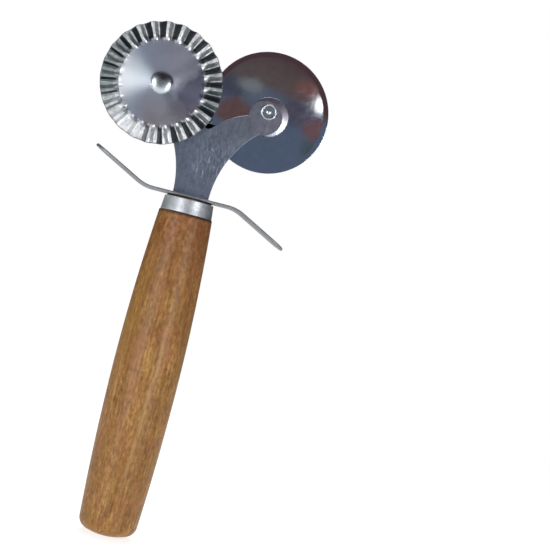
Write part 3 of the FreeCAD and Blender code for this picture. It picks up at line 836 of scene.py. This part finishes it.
def make_fluted_wheel():
    """Front and back of the pressed sheet, closed at the bore and at the rounded rim."""
    outer = (FLUTED_HIGH.x - FLUTED_LOW.x) / 2
    radii = [WHEEL_BORE, 4.5, 8.0, 12.0, 15.0, FLUTE_START, 17.1, 17.6, 18.1, FLUTE_FULL,
             19.5, 21.0, 22.5, outer - FLUTED_ROUND, outer]
    steps_per_flute, wander = 24, 0.012
    count = FLUTES * steps_per_flute
    bm = bmesh.new()
    sides = []
    for face in (-1, 1):
        rings = []
        for radius in radii:
            at_rim = radius == outer
            thick = FLUTED_HALF_THICK - (FLUTED_ROUND if at_rim else 0.0)
            ring = []
            for step in range(count):
                angle = math.tau * step / count
                wobble = noise.noise(Vector((math.cos(angle), math.sin(angle), 0.3)) * 5.0)
                level = flute_height(radius, angle + wander * wobble)
                ring.append(bm.verts.new((
                    FLUTED_HUB.x + radius * math.cos(angle), FLUTED_HUB.y + level + face * thick,
                    FLUTED_HUB.z + radius * math.sin(angle))))
            rings.append(ring)
        sides.append(rings)
    front, back = sides
    bridge(bm, front)
    bridge(bm, back)
    bridge(bm, (front[0], back[0]))
    bridge(bm, (front[-1], back[-1]))
    for face in bm.faces:
        from_hub = (face.calc_center_median() - FLUTED_HUB).xz.length
        face.material_index = int(from_hub > FLUTE_START)
    disc = finish_mesh(bm, "fluted_disc_sheet", DISC, "fluted_disc", sharp=22,
                       replaces=["fluted_wheel"], at=FLUTED_HUB)
    disc.data.materials.append(FLUTE)


# ---------------------------------------------------------------- plain wheel
def make_plain_wheel():
    """A flat disc whose edge is ground thin, mostly from behind."""
    outer = (PLAIN_HIGH.x - PLAIN_LOW.x) / 2
    front, back = PLAIN_LOW.y, PLAIN_HIGH.y
    flat = outer - PLAIN_BEVEL
    front_cut, back_cut, bevel_round, edge_round = 0.15, 0.4, 0.3, 0.06
    points = [(WHEEL_BORE, front), (flat - 0.8, front, 0), (flat, front, bevel_round),
              (outer - 0.6, front + 0.10, 0), (outer, front + front_cut, edge_round),
              (outer, back - back_cut, edge_round), (flat, back, bevel_round),
              (flat - 0.8, back, 0), (WHEEL_BORE, back)]
    bm = lathe(rounded(points, 0.1), on_hub(PLAIN_HUB, 1), segments=256)
    finish_mesh(bm, "plain_disc_sheet", MIRROR, "plain_disc", sharp=50,
                replaces=["plain_wheel"], at=PLAIN_HUB)


# ---------------------------------------------------------------- rivets and spacers
def quarter(steps):
    """Angles of a quarter turn."""
    return [math.pi / 2 * step / steps for step in range(steps + 1)]


def make_rivet(node, side, name):
    """From the domed head, down the shoulder and shank, to the rolled end with its ball."""
    low, high = box_mm(node)
    reach = high.y if side > 0 else -low.y
    back = -low.y if side > 0 else high.y
    plate = PLATE_HIGH.y
    roll = back - plate
    neck = reach - HEAD_RIM - HEAD_DOME
    profile = [(HEAD_RADIUS * math.sin(t), neck + HEAD_RIM + HEAD_DOME * math.cos(t))
               for t in quarter(14)]
    profile += [(HEAD_RADIUS, neck + 0.05), (HEAD_RADIUS - 0.1, neck)]
    profile += [(SHOULDER_RADIUS, neck), (SHOULDER_RADIUS, plate)]
    profile += [(SHANK_RADIUS, plate), (SHANK_RADIUS, -plate), (ROLL_OUTER, -plate)]
    profile += [(ROLL_MIDDLE + ROLL_HALF * math.cos(t), -plate - roll * math.sin(t))
                for t in [math.pi * step / 16 for step in range(1, 16)]]
    # the hollow between the roll and the ball
    profile += [(ROLL_MIDDLE - ROLL_HALF, -plate + 0.05), (2.1, -plate + 0.35),
                (1.7, -plate + 0.45), (1.35, -plate + 0.3)]
    profile += [(BALL_RADIUS * math.cos(t), -plate + 0.2 - (0.2 + 0.6 * roll) * math.sin(t))
                for t in quarter(8)]
    bm = lathe(profile, on_hub(middle_mm(node), side), segments=96, closed=False)
    finish_mesh(bm, name, RIVET, "tool", sharp=40, replaces=[node])


def make_spacer(node, side, name):
    """A collar round the rivet, between plate and wheel."""
    low, high = box_mm(node)
    inner = PLATE_HIGH.y
    outer = high.y if side > 0 else -low.y
    wide = (high.x - low.x) / 2
    points = [(SHANK_RADIUS, inner), (wide, inner, 0.1), (wide, (inner + outer) / 2, 0.0),
              (wide, outer, 0.15), (SHANK_RADIUS, outer)]
    bm = lathe(rounded(points, 0.1), on_hub(middle_mm(node), side), segments=96)
    finish_mesh(bm, name, SPACER, "tool", sharp=50, replaces=[node])


make_handle()
make_ferrule()
make_guard()
make_plate()
make_fluted_wheel()
make_plain_wheel()
make_rivet("fluted_wheel_rivet", -1, "fluted_wheel_dome_rivet")
make_rivet("plain_wheel_rivet", 1, "plain_wheel_dome_rivet")
make_spacer("fluted_wheel_spacer", -1, "fluted_wheel_collar")
make_spacer("plain_wheel_spacer", 1, "plain_wheel_collar")


# ---------------------------------------------------------------- floor, light, camera, in metres
FLOOR_RADIUS = 0.7


def make_floor():
    """A pale round floor under the butt."""
    s = Shader("pale_floor", metallic=0.0)
    s.set(Roughness=0.8, Specular_IOR_Level=0.0, Emission_Color=(1, 1, 1, 1),
          Emission_Strength=0.8)
    speckle = s.noise(s.even(40), detail=3)
    s.set(Base_Color=s.mix(speckle, (0.48, 0.48, 0.48), (0.51, 0.51, 0.51)))
    bm = bmesh.new()
    bmesh.ops.create_circle(bm, cap_ends=True, segments=96, radius=FLOOR_RADIUS)
    mesh = bpy.data.meshes.new("floor")
    bm.to_mesh(mesh)
    bm.free()
    mesh.materials.append(s.material)
    floor = bpy.data.objects.new("floor", mesh)
    bpy.context.scene.collection.objects.link(floor)


# Patches of the room that the polished steel mirrors, by direction from the tool: sideways
# and upward place, half width, half height, softness, colour. The last one is a bright lamp.
PATCHES = [
    (0.1010, 0.1180, 0.0120, 0.0085, 0.8, (0.105, 0.100, 0.150)),
    (0.0520, 0.1250, 0.0110, 0.0085, 0.7, (0.080, 0.088, 0.125)),
    (0.0600, 0.1100, 0.0125, 0.0085, 0.5, (0.165, 0.090, 0.080)),
    (0.0650, 0.1290, 0.0085, 0.0045, 0.25, (0.25, 0.28, 0.28)),
    (0.1050, 0.1350, 0.0110, 0.0058, 0.5, (0.25, 0.115, 0.105)),
    (0.1165, 0.0960, 0.0090, 0.0070, 0.9, (0.090, 0.125, 0.135)),
    (0.1160, 0.1112, 0.0100, 0.0068, 0.4, (0.23, 0.112, 0.120)),
    (0.1146, 0.1275, 0.0046, 0.0046, 0.35, (4.2, 4.4, 4.6)),
]


def make_world():
    """The room that the steel mirrors; the camera itself sees plain white.

    In front the room is slate low down, brown and then dark red above; its sides are grey
    and its back is dark.
    """
    world = bpy.data.worlds.new("studio")
    bpy.context.scene.world = world
    world.use_nodes = True
    w = NodeTree(world.node_tree)
    direction = w.node("TexCoord").outputs["Generated"]
    apart = w.node("SeparateXYZ", Vector=direction)
    x, y, z = apart.outputs["X"], apart.outputs["Y"], apart.outputs["Z"]
    wave = w.noise(direction, scale=7.0, detail=2.0, roughness=0.5)
    edge = w.noise(direction, scale=95.0, detail=1.0, roughness=0.5)
    level = w.math("MULTIPLY_ADD", wave, 0.05, z)
    room = w.mix(w.span(level, 0.149, 0.156, smooth=True), (0.125, 0.165, 0.245),
                 (0.140, 0.108, 0.103))
    room = w.paint(
        room,
        (w.span(level, 0.158, 0.19, smooth=True), (0.105, 0.058, 0.068)),
        (w.span(y, -0.90, -0.35, smooth=True), (0.22, 0.23, 0.26)),
        (w.span(y, -0.2, 0.5, smooth=True), (0.08, 0.085, 0.10)))

    # a patch ends where its squared distance, plus ragged times the edge noise, is limit
    ragged, limit = 1.8, 1.9
    in_front = w.math("LESS_THAN", y, 0.0)
    for across, up, half_wide, half_high, soft, colour in PATCHES:
        sideways = w.math("DIVIDE", w.minus(x, across), half_wide)
        upward = w.math("DIVIDE", w.minus(z, up), half_high)
        from_middle = w.plus(w.math("POWER", sideways, 2.0), w.math("POWER", upward, 2.0))
        reach = w.math("MULTIPLY_ADD", edge, ragged, from_middle)
        inside = w.span(reach, limit + soft, limit - soft, smooth=True)
        room = w.mix(w.times(inside, in_front), room, colour)

    mirrored = w.tree.nodes["Background"]
    w.put(mirrored.inputs["Color"], room)
    white = w.node("Background", Color=(1, 1, 1, 1))
    seen = w.node("MixShader", Fac=w.node("LightPath").outputs["Is Camera Ray"])
    w.put(seen.inputs[1], mirrored.outputs["Background"])
    w.put(seen.inputs[2], white.outputs["Background"])
    w.put(w.tree.nodes["World Output"].inputs["Surface"], seen.outputs["Shader"])


def add_area(name, place, target, width, height, power):
    data = bpy.data.lights.new(name, "AREA")
    data.shape = "RECTANGLE"
    data.size = width
    data.size_y = height
    data.energy = power
    lamp = bpy.data.objects.new(name, data)
    lamp.location = place
    aim = Vector(target) - Vector(place)
    lamp.rotation_euler = aim.to_track_quat("-Z", "Y").to_euler()
    bpy.context.scene.collection.objects.link(lamp)


def make_camera():
    """Almost level, a little to the left of straight on, rolled so the tool leans."""
    azimuth, elevation, roll = math.radians(-6.45), math.radians(-0.63), math.radians(14.15)
    distance, target = 0.590, Vector((0.0398, 0.0, 0.1142))
    back = Vector((math.sin(azimuth) * math.cos(elevation),
                   -math.cos(azimuth) * math.cos(elevation), math.sin(elevation)))
    right = Vector((0, 0, 1)).cross(back).normalized()
    up = back.cross(right)
    rolled_right = math.cos(roll) * right + math.sin(roll) * up
    rolled_up = back.cross(rolled_right)
    data = bpy.data.cameras.new("camera")
    data.sensor_width = 36.0
    data.lens = 98.18
    data.clip_start = 0.01
    data.clip_end = 50.0
    camera = bpy.data.objects.new("camera", data)
    bpy.context.scene.collection.objects.link(camera)
    camera.matrix_world = Matrix.Translation(target + back * distance) @ Matrix(
        (rolled_right, rolled_up, back)).transposed().to_4x4()
    bpy.context.scene.camera = camera


make_floor()
make_world()
make_camera()
# name, place, target, width, height and power of each lamp
add_area("key", (-0.62, -0.80, 0.13), (0, 0, 0.15), 0.38, 0.38, 4.6)
add_area("fill", (0.60, -0.86, 0.10), (0, 0, 0.12), 0.26, 0.42, 4.3)
add_area("top", (0.0, 0.3, 1.1), (0, 0, 0.1), 0.9, 0.9, 7.0)
bpy.context.scene.view_settings.view_transform = "Standard"
